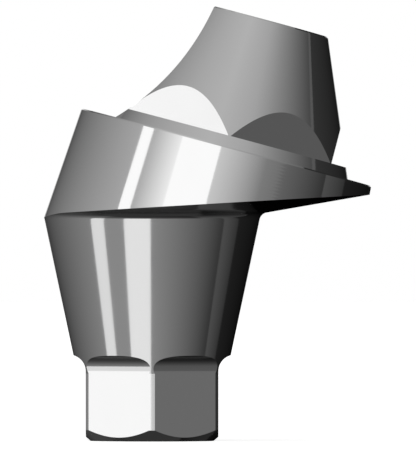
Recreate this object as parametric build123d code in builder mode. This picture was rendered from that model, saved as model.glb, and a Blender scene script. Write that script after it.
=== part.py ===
from build123d import *

import os
from math import cos, radians, sin, tan

# Angled multi-unit dental abutment, turned and milled from one bar of titanium.
# The implant axis is Z and the flat end of the hexagon lies on Z = 0.
# The prosthetic side leans towards +X, in the XZ plane.
# Lengths are millimetres and angles are degrees.

# Anti-rotation hexagon
hex_across_flats = 2.12
hex_corner_diameter = 2.395
hex_end_diameter = 1.97
hex_end_chamfer_angle = 40.0
hex_flat_height = 1.117
hex_cutter_radius = 0.26

# Conical seat and shoulder
seat_half_angle = 12.0
seat_top_diameter = 3.48
seat_top_height = 3.635
shoulder_rise_angle = 9.85
shoulder_fillet_radius = 0.135

# Tilted collar
tilt_angle = 15.0
platform_offset = 1.189
platform_height = 4.698
platform_diameter = 4.80
collar_flare_angle = 4.0

# Prosthetic cone
cone_base_diameter = 4.022
cone_half_angle = 22.9
cone_length = 2.121
cone_across_flats = 3.37
cone_ledge_height = 0.18

# Passage of the abutment screw
screw_bore_diameter = 1.40
head_seat_angle = 45.0
head_seat_height = 1.90
head_bore_diameter = 1.80
driver_channel_diameter = 2.27
driver_channel_offset = 0.20
driver_channel_floor = 3.40

# Tapped hole of the prosthetic screw, M1.4 x 0.3
thread_minor_diameter = 1.10
thread_depth = 2.30
thread_mouth_diameter = 1.50

edge_break = 0.02

# Radii and heights that follow from the sizes above
hex_corner_radius = hex_corner_diameter / 2
hex_end_radius = hex_end_diameter / 2
hex_end_chamfer_height = (hex_corner_radius - hex_end_radius) * tan(radians(hex_end_chamfer_angle))
seat_top_radius = seat_top_diameter / 2
seat_slope = tan(radians(seat_half_angle))
neck_height = seat_top_height - (seat_top_radius - hex_corner_radius) / seat_slope
platform_radius = platform_diameter / 2
cone_base_radius = cone_base_diameter / 2
cone_top_radius = cone_base_radius - cone_length * tan(radians(cone_half_angle))
screw_bore_radius = screw_bore_diameter / 2
head_bore_radius = head_bore_diameter / 2
head_seat_drop = (head_bore_radius - screw_bore_radius) / tan(radians(head_seat_angle))
driver_channel_radius = driver_channel_diameter / 2
thread_minor_radius = thread_minor_diameter / 2
thread_mouth_radius = thread_mouth_diameter / 2

# Everything lies within this distance of the origin, so a blank or a cutter of this size is large enough
reach = platform_offset + platform_height + platform_diameter + cone_length

# Planes and axis of the tilted side
lean = radians(tilt_angle)
platform_centre = (platform_offset, 0, platform_height)
across_tilt = (cos(lean), 0, -sin(lean))
along_tilt = (sin(lean), 0, cos(lean))
tilted_section = Plane(origin=platform_centre, x_dir=across_tilt, z_dir=(0, -1, 0))
platform = Plane(origin=platform_centre, x_dir=across_tilt, z_dir=along_tilt)
prosthetic_axis = Axis(platform_centre, along_tilt)

os.makedirs("parts", exist_ok=True)

# Cutter of one hexagon flat: it runs out above the flat with the radius of the milling cutter
with BuildPart() as flat_cutter:
    flat_distance = hex_across_flats / 2
    runout_top = hex_flat_height + hex_cutter_radius
    with BuildSketch(Plane.XZ):
        with BuildLine():
            Line((flat_distance, -reach), (flat_distance, hex_flat_height))
            RadiusArc(
                (flat_distance, hex_flat_height),
                (flat_distance + hex_cutter_radius, runout_top),
                hex_cutter_radius,
            )
            Polyline(
                (flat_distance + hex_cutter_radius, runout_top),
                (reach, runout_top),
                (reach, -reach),
                (flat_distance, -reach),
            )
        make_face()
    extrude(amount=hex_across_flats, both=True)

with BuildPart() as abutment_body:
    # Turned implant side, with the underside of the shoulder and an oversize blank above it
    with BuildSketch(Plane.XZ) as turned_profile:
        with BuildLine():
            Polyline(
                (0, 0),
                (hex_end_radius, 0),
                (hex_corner_radius, hex_end_chamfer_height),
                (hex_corner_radius, neck_height),
                (seat_top_radius, seat_top_height),
                (reach, seat_top_height + (reach - seat_top_radius) * tan(radians(shoulder_rise_angle))),
                (reach, 2 * reach),
                (0, 2 * reach),
                close=True,
            )
        make_face()
        shoulder_corner = turned_profile.vertices().sort_by_distance((seat_top_radius, seat_top_height))[0]
        fillet(shoulder_corner, radius=shoulder_fillet_radius)
    revolve(axis=Axis.Z)

    # Tilted collar wall and the flat platform, which trim that blank
    with BuildSketch(tilted_section):
        with BuildLine():
            Polyline(
                (0, -reach),
                (platform_radius + reach * tan(radians(collar_flare_angle)), -reach),
                (platform_radius + edge_break * tan(radians(collar_flare_angle)), -edge_break),
                (platform_radius - edge_break, 0),
                (0, 0),
                close=True,
            )
        make_face()
    revolve(axis=prosthetic_axis, mode=Mode.INTERSECT)

    # Prosthetic cone on the platform
    with BuildSketch(tilted_section):
        with BuildLine():
            Polyline(
                (0, 0),
                (cone_base_radius, 0),
                (cone_top_radius + edge_break * tan(radians(cone_half_angle)), cone_length - edge_break),
                (cone_top_radius - edge_break, cone_length),
                (0, cone_length),
                close=True,
            )
        make_face()
    revolve(axis=prosthetic_axis)

    # Six wrench flats on the cone, down to a narrow ledge, with a corner towards -Y
    with BuildSketch(platform.offset(cone_ledge_height)):
        Circle(platform_radius)
        RegularPolygon(cone_across_flats / 2, 6, major_radius=False, rotation=30, mode=Mode.SUBTRACT)
    extrude(amount=cone_length, mode=Mode.SUBTRACT)

    # Six flats of the anti-rotation hexagon, with a corner towards -Y
    with PolarLocations(0, 6):
        add(flat_cutter.part, mode=Mode.SUBTRACT)

    # Screw bore, conical seat and bore of the screw head, on the implant axis
    with BuildSketch(Plane.XZ):
        with BuildLine():
            Polyline(
                (0, -reach),
                (screw_bore_radius, -reach),
                (screw_bore_radius, head_seat_height - head_seat_drop),
                (head_bore_radius, head_seat_height),
                (head_bore_radius, reach),
                (0, reach),
                close=True,
            )
        make_face()
    revolve(axis=Axis.Z, mode=Mode.SUBTRACT)

    # Wide driver channel, set off towards the cone, which opens through the cone's low side
    with BuildSketch(Plane.XY.offset(driver_channel_floor)):
        with Locations((driver_channel_offset, 0)):
            Circle(driver_channel_radius)
    extrude(amount=reach, mode=Mode.SUBTRACT)

    # Tapped hole of the prosthetic screw, with a countersunk mouth
    with BuildSketch(tilted_section):
        with BuildLine():
            Polyline(
                (0, cone_length - thread_depth),
                (thread_minor_radius, cone_length - thread_depth),
                (thread_minor_radius, cone_length - (thread_mouth_radius - thread_minor_radius)),
                (thread_mouth_radius, cone_length),
                (0, cone_length),
                close=True,
            )
        make_face()
    revolve(axis=prosthetic_axis, mode=Mode.SUBTRACT)

abutment_body.part.label = "abutment_body"
export_step(abutment_body.part, "parts/abutment_body.step")
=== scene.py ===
"""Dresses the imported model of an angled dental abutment, one piece of turned and milled titanium."""

from math import atan2, ceil, cos, hypot, pi, radians, sin, tan

import bpy
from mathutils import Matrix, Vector


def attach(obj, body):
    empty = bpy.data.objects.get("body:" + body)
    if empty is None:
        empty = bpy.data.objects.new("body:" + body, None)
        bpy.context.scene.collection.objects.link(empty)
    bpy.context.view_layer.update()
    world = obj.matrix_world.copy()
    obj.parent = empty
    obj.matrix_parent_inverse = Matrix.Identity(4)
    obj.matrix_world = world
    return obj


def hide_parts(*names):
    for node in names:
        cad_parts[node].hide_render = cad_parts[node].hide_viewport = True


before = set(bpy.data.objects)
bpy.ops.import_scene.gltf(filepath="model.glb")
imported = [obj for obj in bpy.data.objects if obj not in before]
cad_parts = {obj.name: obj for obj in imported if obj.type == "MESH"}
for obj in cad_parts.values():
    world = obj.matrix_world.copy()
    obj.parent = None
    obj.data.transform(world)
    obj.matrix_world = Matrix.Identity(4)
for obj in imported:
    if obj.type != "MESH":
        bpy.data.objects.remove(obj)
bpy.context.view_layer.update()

# Lengths are modelled in millimetres and the finished piece is brought to metres.
MM = 0.001

# Anti-rotation hexagon
HEX_ACROSS_FLATS = 2.12
HEX_CORNER_RADIUS = 2.395 / 2
HEX_END_RADIUS = 1.97 / 2
HEX_END_CHAMFER = radians(40)
HEX_FLAT_HEIGHT = 1.117
HEX_CUTTER_RADIUS = 0.26

# Conical seat and shoulder
SEAT_HALF_ANGLE = radians(12)
SEAT_TOP_RADIUS = 3.48 / 2
SEAT_TOP_HEIGHT = 3.635
SHOULDER_RISE = radians(9.85)
SHOULDER_FILLET = 0.135

# Tilted collar
TILT = radians(15)
PLATFORM_OFFSET = 1.189
PLATFORM_HEIGHT = 4.698
PLATFORM_RADIUS = 4.80 / 2
COLLAR_FLARE = radians(4)

# Prosthetic cone
CONE_BASE_RADIUS = 4.022 / 2
CONE_HALF_ANGLE = radians(22.9)
CONE_LENGTH = 2.121
CONE_ACROSS_FLATS = 3.37
CONE_LEDGE = 0.18

# Passage of the abutment screw
SCREW_BORE_RADIUS = 1.40 / 2
HEAD_SEAT_HEIGHT = 1.90
HEAD_BORE_RADIUS = 1.80 / 2
CHANNEL_RADIUS = 2.27 / 2
CHANNEL_OFFSET = 0.20
CHANNEL_FLOOR = 3.40

# Tapped hole of the prosthetic screw, M1.4 x 0.3
THREAD_CREST_RADIUS = 1.10 / 2
THREAD_ROOT_RADIUS = 1.40 / 2
THREAD_PITCH = 0.3
THREAD_DEPTH = 2.30
THREAD_MOUTH_RADIUS = 1.50 / 2

EDGE_BREAK = 0.02

# Fineness of the mesh: steps round a turned face, and height of one row of faces
TURN_STEPS = 480
BORE_STEPS = 192
THREAD_STEPS = 96
ROW = 0.07
ARC_ROW = 0.01
# A cutter stands this far out of the metal, and a blank reaches this far
CLEAR = 0.5
FAR = 6.0
# Vertices closer than this are merged, and faces that meet at less than this angle are shaded as one
WELD = 1e-5
SMOOTH_BELOW = radians(8)


# Colours and nodes

def linear(hex_colour):
    """An sRGB hex value such as C2C1BF as linear red, green, blue and alpha."""
    channels = [int(hex_colour[i:i + 2], 16) / 255 for i in (0, 2, 4)]
    return [c / 12.92 if c <= 0.04045 else ((c + 0.055) / 1.055) ** 2.4 for c in channels] + [1.0]


def add_node(tree, kind, settings=None, links=None):
    """Adds a node. Settings go to its properties or sockets by name, and links join its inputs to outputs."""
    made = tree.nodes.new(kind)
    for name, value in (settings or {}).items():
        if isinstance(name, int) or name in made.inputs:
            made.inputs[name].default_value = value
        else:
            setattr(made, name, value)
    for socket, source in (links or {}).items():
        tree.links.new(source, made.inputs[socket])
    return made


def new_material(name):
    """An empty node material."""
    material = bpy.data.materials.new(name)
    material.use_nodes = True
    material.node_tree.nodes.clear()
    return material


# Modelling

def deselect_all():
    bpy.ops.object.select_all(action="DESELECT")


def make_active(piece):
    deselect_all()
    piece.select_set(True)
    bpy.context.view_layer.objects.active = piece


def rows(points, spacing):
    """Points along a polyline of (radius, height), so many that no stretch is longer than the spacing."""
    out = [points[0]]
    for (r0, h0), (r1, h1) in zip(points, points[1:]):
        count = max(1, ceil(hypot(r1 - r0, h1 - h0) / spacing))
        out += [(r0 + (r1 - r0) * i / count, h0 + (h1 - h0) * i / count) for i in range(1, count + 1)]
    return out


def arc(centre, radius, start, end, spacing=ARC_ROW):
    """Points of an arc in an outline, from one angle to the other."""
    count = max(2, ceil(abs(end - start) * radius / spacing))
    angles = [start + (end - start) * i / count for i in range(count + 1)]
    return [(centre[0] + radius * cos(a), centre[1] + radius * sin(a)) for a in angles]


def draw_outline(name, outline, closed):
    """One vertex pulled along an outline of (radius, height), on the side that faces the camera."""
    deselect_all()
    bpy.ops.mesh.primitive_plane_add(size=1)
    piece = bpy.context.active_object
    piece.name = name
    bpy.ops.object.mode_set(mode="EDIT")
    bpy.ops.mesh.merge(type="CENTER")
    radius, height = outline[0]
    bpy.ops.transform.translate(value=(0, -radius, height))
    for (r0, h0), (r1, h1) in zip(outline, outline[1:]):
        bpy.ops.mesh.extrude_region_move(TRANSFORM_OT_translate={"value": (0, r0 - r1, h1 - h0)})
    if closed:
        bpy.ops.object.mode_set(mode="OBJECT")
        for v in piece.data.vertices:
            v.select = v.index in (0, len(piece.data.vertices) - 1)
        bpy.ops.object.mode_set(mode="EDIT")
        bpy.ops.mesh.edge_face_add()
    return piece


def turned(name, outline, steps, material, closed=False):
    """A solid turned about Z: a round one with many steps, a six-sided one with six."""
    piece = draw_outline(name, outline, closed)
    bpy.ops.mesh.select_all(action="SELECT")
    bpy.ops.mesh.spin(steps=steps, angle=2 * pi, center=(0, 0, 0), axis=(0, 0, 1))
    bpy.ops.mesh.select_all(action="SELECT")
    bpy.ops.mesh.remove_doubles(threshold=WELD)
    bpy.ops.mesh.normals_make_consistent(inside=False)
    bpy.ops.object.mode_set(mode="OBJECT")
    piece.data.materials.append(material)
    return piece


def place(piece, location=(0, 0, 0), tilt=0.0, scale=1.0):
    """Turns the piece about Y, moves it and puts its place into its mesh."""
    make_active(piece)
    piece.rotation_euler = (0, tilt, 0)
    piece.location = location
    piece.scale = (scale, scale, scale)
    bpy.ops.object.transform_apply(location=True, rotation=True, scale=True)
    return piece


def tilted(piece):
    """Takes a piece modelled about Z, with the platform at height 0, to the leaning prosthetic side."""
    return place(piece, location=(PLATFORM_OFFSET, 0, PLATFORM_HEIGHT), tilt=TILT)


def cut(body, tool, operation="DIFFERENCE"):
    """Applies one boolean with the tool, whose faces keep their own material, and deletes the tool."""
    make_active(body)
    modifier = body.modifiers.new("cut", "BOOLEAN")
    modifier.operation = operation
    modifier.solver = "EXACT"
    modifier.object = tool
    modifier.material_mode = "TRANSFER"
    bpy.ops.object.modifier_apply(modifier=modifier.name)
    bpy.data.objects.remove(tool)


def implant_blank(material):
    """The turned implant side: end chamfer, hexagon corners, seat, fillet and underside, with stock above."""
    seat_slope = tan(SEAT_HALF_ANGLE)
    neck = SEAT_TOP_HEIGHT - (SEAT_TOP_RADIUS - HEX_CORNER_RADIUS) / seat_slope
    chamfer = (HEX_CORNER_RADIUS - HEX_END_RADIUS) * tan(HEX_END_CHAMFER)
    corner = Vector((SEAT_TOP_RADIUS, SEAT_TOP_HEIGHT))
    down_seat = Vector((-sin(SEAT_HALF_ANGLE), -cos(SEAT_HALF_ANGLE)))
    out_shoulder = Vector((cos(SHOULDER_RISE), sin(SHOULDER_RISE)))
    between = down_seat.angle(out_shoulder)
    centre = corner + (down_seat + out_shoulder).normalized() * SHOULDER_FILLET / sin(between / 2)
    touch = SHOULDER_FILLET / tan(between / 2)
    on_seat = corner + down_seat * touch - centre
    on_shoulder = corner + out_shoulder * touch - centre
    fillet = arc(
        centre, SHOULDER_FILLET,
        start=atan2(on_seat.y, on_seat.x), end=atan2(on_shoulder.y, on_shoulder.x),
    )
    shoulder_end = (FAR, SEAT_TOP_HEIGHT + (FAR - SEAT_TOP_RADIUS) * tan(SHOULDER_RISE))
    outline = [(0, 0), (HEX_END_RADIUS, 0)]
    side = [outline[-1], (HEX_CORNER_RADIUS, chamfer), (HEX_CORNER_RADIUS, neck), fillet[0]]
    outline += rows(side, ROW)[1:]
    outline += fillet[1:]
    outline += rows([fillet[-1], shoulder_end], 2 * ROW)[1:]
    outline += [(FAR, 2 * FAR), (0, 2 * FAR)]
    return turned("implant_side", outline, TURN_STEPS, material)


def prosthetic_blank(material):
    """The turned prosthetic side: collar wall, platform and cone, with spare stock below the collar."""
    cone_slope = tan(CONE_HALF_ANGLE)
    flare = tan(COLLAR_FLARE)
    cone_top = CONE_BASE_RADIUS - CONE_LENGTH * cone_slope
    collar_foot = -2.0
    outline = [(0, -FAR), (PLATFORM_RADIUS + FAR * flare, -FAR)]
    outline += [(PLATFORM_RADIUS - collar_foot * flare, collar_foot)]
    outline += rows([outline[-1], (PLATFORM_RADIUS + EDGE_BREAK * flare, -EDGE_BREAK)], ROW)[1:]
    outline += [(PLATFORM_RADIUS - EDGE_BREAK, 0), (CONE_BASE_RADIUS, 0)]
    cone_end = (cone_top + EDGE_BREAK * cone_slope, CONE_LENGTH - EDGE_BREAK)
    outline += rows([(CONE_BASE_RADIUS, 0), cone_end], ROW)[1:]
    outline += [(cone_top - EDGE_BREAK, CONE_LENGTH), (0, CONE_LENGTH)]
    return tilted(turned("prosthetic_side", outline, TURN_STEPS, material))


def hexagon_cutter(name, outline, material):
    """A six-sided ring, its outline given from the axis to the flats, with a corner towards the camera."""
    to_corner = 1 / cos(pi / 6)
    return turned(name, [(r * to_corner, h) for r, h in outline], 6, material, closed=True)


def implant_flats(material):
    """Takes the six flats off the implant side, with the round run-out of the milling cutter above them."""
    flat = HEX_ACROSS_FLATS / 2
    runout = arc((flat + HEX_CUTTER_RADIUS, HEX_FLAT_HEIGHT), HEX_CUTTER_RADIUS, pi, pi / 2)
    outline = [(FAR, -CLEAR), (flat, -CLEAR)] + runout + [(FAR, HEX_FLAT_HEIGHT + HEX_CUTTER_RADIUS)]
    return hexagon_cutter("implant_flats", outline, material)


def cone_flats(material):
    """Takes the six wrench flats off the cone, down to the ledge."""
    flat = CONE_ACROSS_FLATS / 2
    top = CONE_LENGTH + CLEAR
    outline = [(FAR, CONE_LEDGE), (flat, CONE_LEDGE), (flat, top), (FAR, top)]
    return tilted(hexagon_cutter("cone_flats", outline, material))


def screw_passage(material):
    """Shank bore, conical seat and head bore of the abutment screw."""
    drop = HEAD_BORE_RADIUS - SCREW_BORE_RADIUS
    outline = [(0, -CLEAR), (SCREW_BORE_RADIUS, -CLEAR), (SCREW_BORE_RADIUS, HEAD_SEAT_HEIGHT - drop)]
    outline += [(HEAD_BORE_RADIUS, HEAD_SEAT_HEIGHT), (HEAD_BORE_RADIUS, FAR + CLEAR), (0, FAR + CLEAR)]
    return turned("screw_passage", outline, BORE_STEPS, material)


def driver_channel(material):
    """The wide channel that opens through the low side of the cone."""
    outline = [(0, CHANNEL_FLOOR), (CHANNEL_RADIUS, CHANNEL_FLOOR)]
    outline += [(CHANNEL_RADIUS, 2 * FAR), (0, 2 * FAR)]
    return place(turned("driver_channel", outline, TURN_STEPS, material), location=(CHANNEL_OFFSET, 0, 0))


def thread_mouth(material):
    """The countersunk mouth of the tapped hole."""
    drop = THREAD_MOUTH_RADIUS - THREAD_CREST_RADIUS
    outline = [(0, CONE_LENGTH - drop), (THREAD_CREST_RADIUS, CONE_LENGTH - drop)]
    outline += [(THREAD_MOUTH_RADIUS + CLEAR, CONE_LENGTH + CLEAR), (0, CONE_LENGTH + CLEAR)]
    return tilted(turned("thread_mouth", outline, BORE_STEPS, material))


def trim(height, keep_above):
    """Cuts the mesh in edit mode at a height, drops one side and closes the cut."""
    bpy.ops.mesh.select_all(action="SELECT")
    bpy.ops.mesh.bisect(
        plane_co=(0, 0, height), plane_no=(0, 0, 1), use_fill=True,
        clear_inner=keep_above, clear_outer=not keep_above, threshold=WELD,
    )


def tap(material):
    """The shape of the tap: one pitch of the thread's outline, wound up the hole and trimmed at both ends."""
    flank = (THREAD_ROOT_RADIUS - THREAD_CREST_RADIUS) * tan(pi / 6)
    root_flat = THREAD_PITCH / 8
    crest_flat = THREAD_PITCH - root_flat - 2 * flank
    bottom = CONE_LENGTH - THREAD_DEPTH
    top = CONE_LENGTH + CLEAR / 2
    one_pitch = [
        (THREAD_CREST_RADIUS, 0),
        (THREAD_CREST_RADIUS, crest_flat),
        (THREAD_ROOT_RADIUS, crest_flat + flank),
        (THREAD_ROOT_RADIUS, crest_flat + flank + root_flat),
        (THREAD_CREST_RADIUS, THREAD_PITCH),
    ]
    piece = draw_outline("tap", [(r, h + bottom - THREAD_PITCH) for r, h in one_pitch], closed=False)
    bpy.ops.object.mode_set(mode="OBJECT")
    screw = piece.modifiers.new("wind", "SCREW")
    screw.axis = "Z"
    screw.angle = 2 * pi
    screw.screw_offset = THREAD_PITCH
    screw.iterations = ceil((top - bottom) / THREAD_PITCH) + 2
    screw.steps = THREAD_STEPS
    screw.render_steps = THREAD_STEPS
    screw.use_merge_vertices = True
    screw.merge_threshold = WELD
    make_active(piece)
    bpy.ops.object.modifier_apply(modifier=screw.name)
    bpy.ops.object.mode_set(mode="EDIT")
    bpy.ops.mesh.select_all(action="SELECT")
    bpy.ops.mesh.remove_doubles(threshold=WELD)
    trim(bottom, keep_above=True)
    trim(top, keep_above=False)
    bpy.ops.mesh.select_all(action="SELECT")
    bpy.ops.mesh.normals_make_consistent(inside=False)
    bpy.ops.object.mode_set(mode="OBJECT")
    piece.data.materials.append(material)
    return tilted(piece)


def abutment(turned_implant, turned_prosthetic, milled, reamed, tapped):
    """The whole body, made in the order in which the real one is machined."""
    body = implant_blank(turned_implant)
    cut(body, prosthetic_blank(turned_prosthetic), "INTERSECT")
    cut(body, cone_flats(milled))
    cut(body, implant_flats(milled))
    cut(body, screw_passage(reamed))
    cut(body, driver_channel(reamed))
    cut(body, thread_mouth(reamed))
    cut(body, tap(tapped))
    body.name = "abutment"
    place(body, scale=MM)
    make_active(body)
    bpy.ops.object.shade_smooth_by_angle(angle=SMOOTH_BELOW)
    return body


# Materials. Lengths are in millimetres.
# The real feed of about 0.02 mm a turn is drawn at 0.05 mm, three pixels of the picture, so that it shows.
RING_FEED = 0.05
MILLING_LINE_SPACING = 0.05
TAPPING_LINE_SPACING = 0.04
# Width of a cutter's line as a share of its length
LINE_ASPECT = 0.03
# Clouds of colour and roughness to a millimetre
CLOUDS = 0.9


def surface_place(tree, leaning):
    """Where a point is on the piece, in millimetres, turned to the leaning axis for the prosthetic side."""
    place = add_node(tree, "ShaderNodeTexCoord").outputs["Object"]
    if leaning:
        centre = (PLATFORM_OFFSET * MM, 0, PLATFORM_HEIGHT * MM)
        place = add_node(
            tree, "ShaderNodeMapping",
            {"vector_type": "TEXTURE", "Location": centre, "Rotation": (0, TILT, 0)}, {"Vector": place},
        ).outputs["Vector"]
    return add_node(tree, "ShaderNodeMapping", {"Scale": (1 / MM,) * 3}, {"Vector": place})


def turning_rings(tree, place, feed):
    """Waves that run round the axis, one for each turn of the lathe, on walls, cones and flat faces alike."""
    parts = add_node(tree, "ShaderNodeSeparateXYZ", links={"Vector": place.outputs["Vector"]})
    flat = add_node(tree, "ShaderNodeCombineXYZ", links={"X": parts.outputs["X"], "Y": parts.outputs["Y"]})
    radius = add_node(tree, "ShaderNodeVectorMath", {"operation": "LENGTH"}, {0: flat.outputs["Vector"]})
    along = add_node(
        tree, "ShaderNodeMath", {"operation": "ADD"}, {0: radius.outputs["Value"], 1: parts.outputs["Z"]},
    )
    turns = add_node(
        tree, "ShaderNodeMath", {"operation": "MULTIPLY", 1: 2 * pi / feed}, {0: along.outputs[0]},
    )
    return add_node(tree, "ShaderNodeMath", {"operation": "SINE"}, {0: turns.outputs[0]}).outputs[0]


def cutter_lines(tree, place, spacing):
    """Fine lines along the piece, as the side of a milling cutter leaves them on a flat."""
    drawn_out = add_node(
        tree, "ShaderNodeMapping", {"Scale": (1, 1, LINE_ASPECT)}, {"Vector": place.outputs["Vector"]},
    )
    grain = add_node(
        tree, "ShaderNodeTexNoise", {"Scale": 1 / spacing, "Detail": 3.0, "Roughness": 0.6},
        {"Vector": drawn_out.outputs["Vector"]},
    )
    return grain.outputs["Fac"]


def titanium(name, pattern, colours, roughness, relief):
    """Bare titanium: colour and roughness drift a little over the piece, and the tool's pattern lies on top.

    The pattern is a function from (tree, place) to a socket, and the relief is its height in millimetres.
    """
    material = new_material(name)
    tree = material.node_tree
    place = surface_place(tree, "leaning" in name)
    cloud = add_node(
        tree, "ShaderNodeTexNoise", {"Scale": CLOUDS, "Detail": 4.0, "Roughness": 0.55},
        {"Vector": place.outputs["Vector"]},
    ).outputs["Fac"]
    marks = pattern(tree, place)
    tint = add_node(
        tree, "ShaderNodeMix", {"data_type": "RGBA", "A": linear(colours[0]), "B": linear(colours[1])},
        {"Factor": cloud},
    )
    drift = add_node(
        tree, "ShaderNodeMapRange",
        {"From Min": 0.3, "From Max": 0.7, "To Min": roughness[0], "To Max": roughness[1]}, {"Value": cloud},
    )
    depth = add_node(tree, "ShaderNodeBump", {"Strength": 1.0, "Distance": relief * MM}, {"Height": marks})
    # The mix node has three outputs called Result, and the third is the colour.
    shader = add_node(tree, "ShaderNodeBsdfPrincipled", {"Metallic": 1.0}, {
        "Base Color": tint.outputs[2],
        "Roughness": drift.outputs["Result"],
        "Normal": depth.outputs["Normal"],
    })
    add_node(tree, "ShaderNodeOutputMaterial", links={"Surface": shader.outputs["BSDF"]})
    return material


# Titanium alloy, grade 5, fine-turned: a bright neutral grey with sharp reflections and very fine rings.
turned_implant = titanium(
    "fine_turned_titanium_upright", lambda tree, place: turning_rings(tree, place, RING_FEED),
    colours=("CACACA", "CDCDCD"), roughness=(0.08, 0.11), relief=0.00003,
)
turned_prosthetic = titanium(
    "fine_turned_titanium_leaning", lambda tree, place: turning_rings(tree, place, RING_FEED),
    colours=("CACACA", "CDCDCD"), roughness=(0.05, 0.08), relief=0.00003,
)
# The same alloy, side-milled: flat mirrors with faint lines along them, which break a reflection up slightly.
milled = titanium(
    "side_milled_titanium", lambda tree, place: cutter_lines(tree, place, MILLING_LINE_SPACING),
    colours=("C9C9C9", "CDCDCD"), roughness=(0.08, 0.11), relief=0.00004,
)
# The bores, reamed: duller and a little darker, because the tool rubs and nothing polishes them.
reamed = titanium(
    "reamed_titanium", lambda tree, place: turning_rings(tree, place, 2 * RING_FEED),
    colours=("B4B4B2", "BEBEBC"), roughness=(0.20, 0.28), relief=0.0001,
)
# The tapped thread: torn slightly by the tap, so its flanks are the dullest faces of the part.
tapped = titanium(
    "tapped_titanium_leaning", lambda tree, place: cutter_lines(tree, place, TAPPING_LINE_SPACING),
    colours=("AFAFAD", "BBBBB9"), roughness=(0.24, 0.34), relief=0.0002,
)

body = abutment(turned_implant, turned_prosthetic, milled, reamed, tapped)
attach(body, "root")
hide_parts("abutment_body")


# Studio: light panels stand round the part as in a product studio, and bright metal shows nothing but them.
# A panel is given by its edges in azimuth and elevation, seen from the part, and by the light of its corners.
# Azimuth 0 is towards the camera and grows to the right. Distances are in metres and steps in degrees.
# The edges and the light are rounded from what the metal in the picture reflects.
PANEL_DISTANCE = 0.6
BACK_STRIP_DISTANCE = 0.55
BACK_STRIP_LIGHT = 1.2
PANEL_STEP = 3.0
FLOOR_RADIUS = 0.5
# What the camera sees on the floor in addition to the light on it, and the light of the sky on matt surfaces
FLOOR_LIFT = 0.78
SKY_LIGHT = 0.3


def panel_light():
    """Gives off the light that each corner of a panel carries."""
    material = new_material("studio_panel")
    tree = material.node_tree
    level = add_node(tree, "ShaderNodeAttribute", {"attribute_name": "level"})
    glow = add_node(tree, "ShaderNodeEmission", links={"Strength": level.outputs["Fac"]})
    add_node(tree, "ShaderNodeOutputMaterial", links={"Surface": glow.outputs["Emission"]})
    return material


def panel(name, azimuths, elevations, low, high, material, distance=PANEL_DISTANCE):
    """One panel; low and high are the light of its left and right corner at its lower and its upper edge."""
    columns = ceil((azimuths[1] - azimuths[0]) / PANEL_STEP)
    ranks = ceil((elevations[1] - elevations[0]) / PANEL_STEP)
    deselect_all()
    bpy.ops.mesh.primitive_grid_add(x_subdivisions=columns, y_subdivisions=ranks, size=1)
    made = bpy.context.active_object
    made.name = name
    level = made.data.attributes.new("level", "FLOAT", "POINT")
    for corner, light in zip(made.data.vertices, level.data):
        across, up = corner.co.x + 0.5, corner.co.y + 0.5
        azimuth = radians(azimuths[0] + (azimuths[1] - azimuths[0]) * across)
        elevation = radians(elevations[0] + (elevations[1] - elevations[0]) * up)
        out = cos(elevation)
        corner.co = (out * sin(azimuth), -out * cos(azimuth), sin(elevation))
        corner.co *= distance
        lower = low[0] + (low[1] - low[0]) * across
        upper = high[0] + (high[1] - high[0]) * across
        light.value = lower + (upper - lower) * up
    made.data.materials.append(material)
    made.visible_camera = False
    made.visible_diffuse = False
    made.visible_shadow = False
    return made


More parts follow.
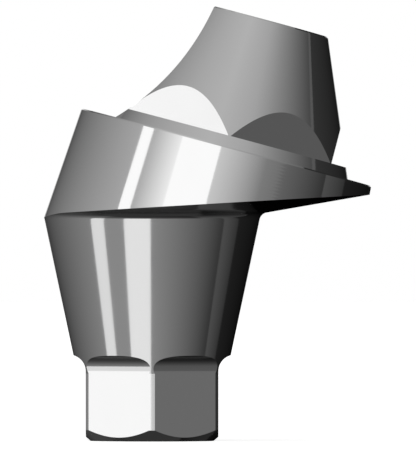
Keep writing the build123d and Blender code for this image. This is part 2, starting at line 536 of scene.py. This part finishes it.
PANELS = [
    # Round the part, from the left: a pale wall that fades away behind it,
    ("left_wall", (-180, -68), (-3, 32), (0.0, 0.65), (0.1, 0.6)),
    # a narrow strip light and a wide one, with a lit screen between them,
    ("narrow_strip", (-68, -57.5), (-3, 32), (1.6, 1.6), (1.6, 1.6)),
    ("screen", (-57.5, -32), (-3, 32), (0.7, 1.6), (0.6, 1.2)),
    ("wide_strip", (-32, -1.5), (-3, 32), (1.6, 1.6), (1.6, 1.6)),
    # a wall on the right that falls away from the wide strip,
    ("near_right_wall", (-1.5, 34), (-3, 32), (1.0, 0.3), (0.8, 0.55)),
    ("right_wall", (34, 98.5), (-3, 32), (0.3, 0.1), (0.55, 0.1)),
    # and black cloth, with a faint strip beside it.
    ("faint_strip", (98.5, 102.5), (-3, 45), (0.15, 0.15), (0.15, 0.15)),
    ("black_cloth", (102.5, 180), (-3, 45), (0.05, 0.0), (0.05, 0.0)),
    # A pale canopy hangs over all of them.
    ("canopy_left", (-180, -68), (32, 90), (0.1, 0.4), (0.9, 0.9)),
    ("canopy_front", (-68, -1.5), (32, 90), (0.4, 0.65), (0.9, 0.9)),
    ("canopy_near_right", (-1.5, 34), (32, 90), (0.65, 0.55), (0.9, 0.9)),
    ("canopy_right", (34, 98.5), (32, 90), (0.55, 0.1), (0.9, 0.9)),
    ("canopy_back", (98.5, 180), (45, 90), (0.1, 0.5), (0.9, 0.9)),
    # In place of a dull table top, which would give them back darker and a little wider:
    ("wall_on_table", (-180, -72), (-30, -3), (0.0, 0.35), (0.0, 0.35)),
    ("narrow_strip_on_table", (-72, -55.5), (-30, -3), (1.15, 1.15), (1.15, 1.15)),
    ("screen_on_table", (-55.5, -32), (-30, -3), (0.4, 0.4), (0.4, 0.4)),
    ("wide_strip_on_table", (-32, -1.5), (-30, -3), (1.25, 1.25), (1.25, 1.25)),
    ("right_wall_on_table", (-1.5, 87), (-30, -3), (0.38, 0.05), (0.38, 0.05)),
    ("faint_strip_on_table", (87, 110), (-30, -3), (0.12, 0.05), (0.12, 0.05)),
    ("cloth_on_table", (110, 180), (-30, -3), (0.02, 0.0), (0.02, 0.0)),
    # and in place of the dim floor below its edge:
    ("floor_left", (-180, -62), (-62, -30), (0.02, 0.06), (0.0, 0.35)),
    ("floor_front", (-62, 60), (-62, -30), (0.02, 0.02), (0.2, 0.05)),
    ("floor_right", (60, 180), (-62, -30), (0.03, 0.0), (0.15, 0.0)),
    ("foot", (-180, 180), (-90, -62), (0.05, 0.05), (0.05, 0.05)),
]
glow = panel_light()
for name, azimuths, elevations, low, high in PANELS:
    panel(name, azimuths, elevations, low, high, glow)
# Right behind the part a soft strip light stands above the table, and another below it, for its back.
for name, elevations in (("back_strip", (1, 60)), ("low_back_strip", (-62, -32))):
    for side, azimuths, edge in (
        ("_right", (165, 180), (0.0, BACK_STRIP_LIGHT)),
        ("_left", (180, 195), (BACK_STRIP_LIGHT, 0.0)),
    ):
        panel(name + side, azimuths, elevations, edge, edge, glow, distance=BACK_STRIP_DISTANCE)


def pale_floor():
    """The floor: a matt pale disc, brought up to the white of the background where the camera looks at it."""
    material = new_material("matt_pale_floor")
    tree = material.node_tree
    path = add_node(tree, "ShaderNodeLightPath")
    matt = add_node(tree, "ShaderNodeBsdfDiffuse", {"Color": linear("E6E6E6"), "Roughness": 1.0})
    seen = add_node(
        tree, "ShaderNodeMath", {"operation": "MULTIPLY", 1: FLOOR_LIFT}, {0: path.outputs["Is Camera Ray"]},
    )
    white = add_node(tree, "ShaderNodeEmission", links={"Strength": seen.outputs[0]})
    both = add_node(
        tree, "ShaderNodeAddShader", links={0: matt.outputs["BSDF"], 1: white.outputs["Emission"]},
    )
    add_node(tree, "ShaderNodeOutputMaterial", links={"Surface": both.outputs["Shader"]})
    deselect_all()
    bpy.ops.mesh.primitive_circle_add(vertices=96, radius=FLOOR_RADIUS, fill_type="NGON")
    floor = bpy.context.active_object
    floor.name = "floor"
    floor.data.materials.append(material)
    floor.visible_glossy = False


def white_background():
    """White for the camera and for reflections that miss the panels, and a soft grey light on the floor."""
    world = bpy.data.worlds.new("studio")
    bpy.context.scene.world = world
    world.use_nodes = True
    tree = world.node_tree
    tree.nodes.clear()
    path = add_node(tree, "ShaderNodeLightPath")
    shiny = add_node(
        tree, "ShaderNodeMath", {"operation": "ADD"},
        {0: path.outputs["Is Glossy Ray"], 1: path.outputs["Is Transmission Ray"]},
    )
    shown = add_node(
        tree, "ShaderNodeMath", {"operation": "ADD", "use_clamp": True},
        {0: path.outputs["Is Camera Ray"], 1: shiny.outputs[0]},
    )
    level = add_node(
        tree, "ShaderNodeMapRange", {"To Min": SKY_LIGHT, "To Max": 1.0}, {"Value": shown.outputs[0]},
    )
    sky = add_node(
        tree, "ShaderNodeBackground", {"Color": (1, 1, 1, 1)}, {"Strength": level.outputs["Result"]},
    )
    add_node(tree, "ShaderNodeOutputWorld", links={"Surface": sky.outputs["Background"]})


def soft_lamp(name, location, size, watts):
    """A square area lamp that shines down on the floor; the metal shows the panels in its place."""
    deselect_all()
    bpy.ops.object.light_add(type="AREA", location=location, rotation=(0, 0, 0))
    lamp = bpy.context.active_object
    lamp.name = name
    lamp.data.size = size
    lamp.data.energy = watts
    lamp.visible_glossy = False


pale_floor()
white_background()
soft_lamp("top_light", location=(0, 0, 0.4), size=0.4, watts=0.35)

# Camera: level with the middle of the part and far away, as a product photographer's long lens
CAMERA_PLACE = (0.000894, -0.28, 0.003453)
LENS = 1400
SENSOR_WIDTH = 36
bpy.ops.object.camera_add(location=CAMERA_PLACE, rotation=(pi / 2, 0, 0))
camera = bpy.context.active_object
camera.name = "camera"
camera.data.sensor_width = SENSOR_WIDTH
camera.data.lens = LENS
camera.data.clip_start = 0.01
camera.data.clip_end = 2.0
bpy.context.scene.camera = camera
bpy.context.scene.view_settings.view_transform = "Standard"
